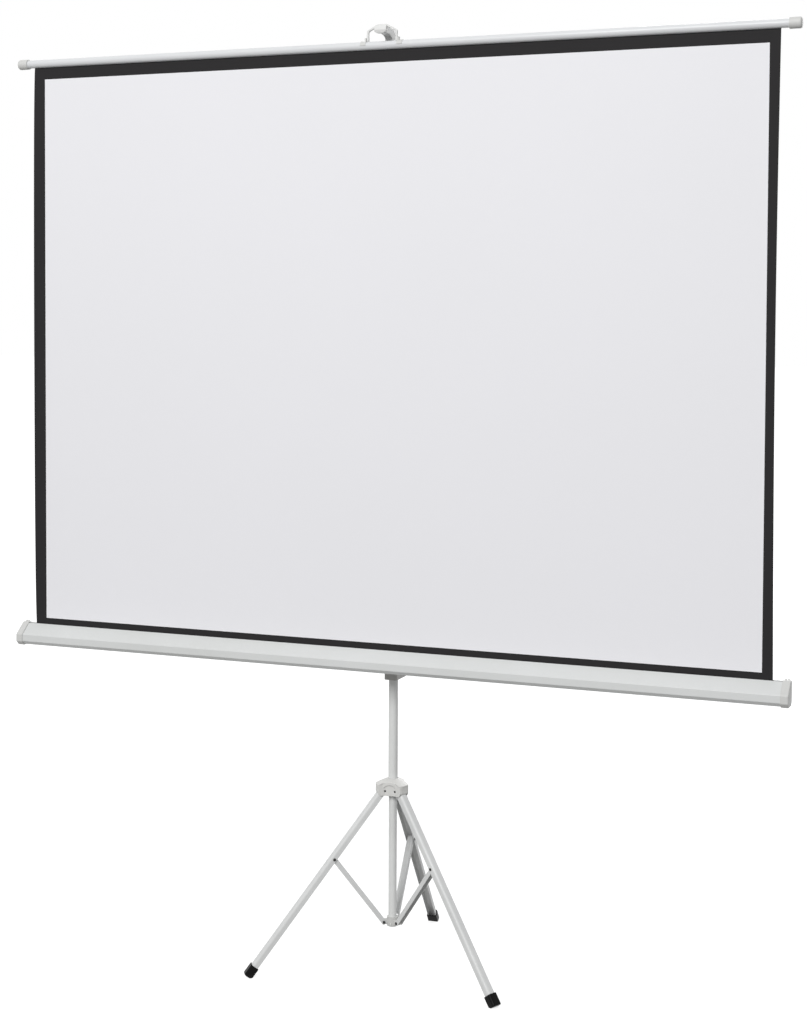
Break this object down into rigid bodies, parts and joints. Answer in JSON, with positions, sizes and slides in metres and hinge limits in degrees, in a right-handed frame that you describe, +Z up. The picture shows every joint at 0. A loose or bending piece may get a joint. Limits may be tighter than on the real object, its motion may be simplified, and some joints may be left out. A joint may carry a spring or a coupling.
{
  "type": "tripod projection screen",
  "caption": "Pull-up projection screen with a bordered white sheet, a roller case and a top bar hung from a telescopic mast on a folding tripod.",
  "frame": {"origin": "on the floor under the middle of the whole object's box", "axes": "+Z up, +X to the right seen from the front of the screen, +Y from the screen to the back"},
  "size_m": [2.192, 0.637, 2.52],
  "materials": {
    "mast_enamel": "smooth light grey enamel",
    "leg_enamel": "smooth light grey enamel on pressed steel",
    "case_enamel": "satin off-white enamel",
    "bar_enamel": "satin off-white enamel",
    "pale_plastic": "satin moulded plastic",
    "bracket_enamel": "satin grey enamel",
    "zinc_steel": "zinc plated",
    "foot_rubber": "moulded black rubber",
    "nylon": "plain nylon",
    "knob_plastic": "moulded black plastic",
    "screen_cloth": "matt white projection cloth with a black border"
  },
  "bodies": {
    "mast": {"main_tube": "mast_enamel", "leg_hub": "pale_plastic", "leg_pivot_pins": "zinc_steel", "extension_collar": "pale_plastic"},
    "lower_mast": {"lower_tube": "mast_enamel", "brace_hub": "pale_plastic", "brace_hub_screw": "zinc_steel"},
    "case": {"slide_bracket": "bracket_enamel", "bracket_bush": "nylon", "swivel_plate": "bracket_enamel", "plate_screws": "zinc_steel", "swivel_washer": "zinc_steel", "swivel_bolt": "zinc_steel", "case_shell": "case_enamel", "end_cap_left": "pale_plastic", "end_cap_right": "pale_plastic", "end_cap_screws": "zinc_steel", "roller_shaft": "zinc_steel", "roller_spring": "zinc_steel", "screen_fabric": "screen_cloth"},
    "roller": {"roller_tube": "zinc_steel", "roller_plug_left": "nylon", "roller_plug_right": "nylon", "screen_roll": "screen_cloth"},
    "extension": {"extension_tube": "mast_enamel", "hook": "pale_plastic", "hook_screw": "zinc_steel", "top_bar": "bar_enamel", "bar_cap_left": "pale_plastic", "bar_cap_right": "pale_plastic", "bail_clips": "pale_plastic", "fabric_rod": "zinc_steel"},
    "bail": {"bail": "pale_plastic"},
    "height_lock": {"height_knob": "knob_plastic", "height_screw": "zinc_steel"},
    "extension_lock": {"extension_knob": "knob_plastic", "extension_screw": "zinc_steel"},
    "leg_rear": {"leg_rear": "leg_enamel", "foot_rear": "foot_rubber", "brace_rivet_rear": "zinc_steel"},
    "brace_rear": {"brace_rear": "leg_enamel", "brace_end_rivets_rear": "zinc_steel"},
    "leg_left": {"leg_left": "leg_enamel", "foot_left": "foot_rubber", "brace_rivet_left": "zinc_steel"},
    "brace_left": {"brace_left": "leg_enamel", "brace_end_rivets_left": "zinc_steel"},
    "leg_right": {"leg_right": "leg_enamel", "foot_right": "foot_rubber", "brace_rivet_right": "zinc_steel"},
    "brace_right": {"brace_right": "leg_enamel", "brace_end_rivets_right": "zinc_steel"}
  },
  "joints": [
    {"name": "tripod_fold", "type": "hinge", "parent": "mast", "child": "leg_rear", "pos_m": [0.0113, -0.05918, 0.48413], "axis": [-0.9977, -0.068, 0], "range_deg": [0, 35]},
    {"name": "brace_rear_fold", "type": "hinge", "parent": "leg_rear", "child": "brace_rear", "pos_m": [0.00201, 0.07706, 0.30455], "axis": [-0.9977, -0.068, 0], "range_deg": [-70.1, 0]},
    {"name": "leg_left_fold", "type": "hinge", "parent": "mast", "child": "leg_left", "pos_m": [-0.00775, -0.09806, 0.48413], "axis": [0.5577, -0.83, 0], "range_deg": [0, 35.05]},
    {"name": "brace_left_fold", "type": "hinge", "parent": "leg_left", "child": "brace_left", "pos_m": [-0.12109, -0.17423, 0.30455], "axis": [0.5577, -0.83, 0], "range_deg": [-70.1, 0]},
    {"name": "leg_right_fold", "type": "hinge", "parent": "mast", "child": "leg_right", "pos_m": [0.03545, -0.09512, 0.48413], "axis": [0.4399, 0.898, 0], "range_deg": [0, 35.05]},
    {"name": "brace_right_fold", "type": "hinge", "parent": "leg_right", "child": "brace_right", "pos_m": [0.15808, -0.15519, 0.30455], "axis": [0.4399, 0.898, 0], "range_deg": [-70.1, 0]},
    {"name": "lower_tube_slide", "type": "slide", "parent": "mast", "child": "lower_mast", "axis": [0, 0, 1], "range_m": [-0.0922, 0]},
    {"name": "height_slide", "type": "slide", "parent": "mast", "child": "case", "axis": [0, 0, 1], "range_m": [-0.25, 0.08]},
    {"name": "extension_slide", "type": "slide", "parent": "case", "child": "extension", "axis": [0, 0, 1], "range_m": [-0.65, 0], "deforming": ["screen_fabric"]},
    {"name": "roller_spin", "type": "hinge", "parent": "case", "child": "roller", "pos_m": [0, -0.19607, 0.8435], "axis": [1, 0, 0], "range_deg": [-2790, 0]},
    {"name": "bail_swing", "type": "hinge", "parent": "extension", "child": "bail", "pos_m": [0.013, -0.18212, 2.48], "axis": [1, 0, 0], "range_deg": [-4, 4]},
    {"name": "height_lock_turn", "type": "hinge", "parent": "case", "child": "height_lock", "pos_m": [0.013, -0.03412, 0.83], "axis": [0, 1, 0], "range_deg": [0, 360]},
    {"name": "extension_lock_turn", "type": "hinge", "parent": "mast", "child": "extension_lock", "pos_m": [0.013, -0.05712, 1.50973], "axis": [0, 1, 0], "range_deg": [0, 360]}
  ],
  "couplings": [
    {"joint": "brace_rear_fold", "follows": "tripod_fold", "ratio": -2},
    {"joint": "leg_left_fold", "follows": "tripod_fold", "ratio": 1},
    {"joint": "brace_left_fold", "follows": "tripod_fold", "ratio": -2},
    {"joint": "leg_right_fold", "follows": "tripod_fold", "ratio": 1},
    {"joint": "brace_right_fold", "follows": "tripod_fold", "ratio": -2},
    {"joint": "lower_tube_slide", "follows": "tripod_fold", "m_per_rad": -0.15011},
    {"joint": "roller_spin", "follows": "extension_slide", "rad_per_m": 74.6}
  ]
}
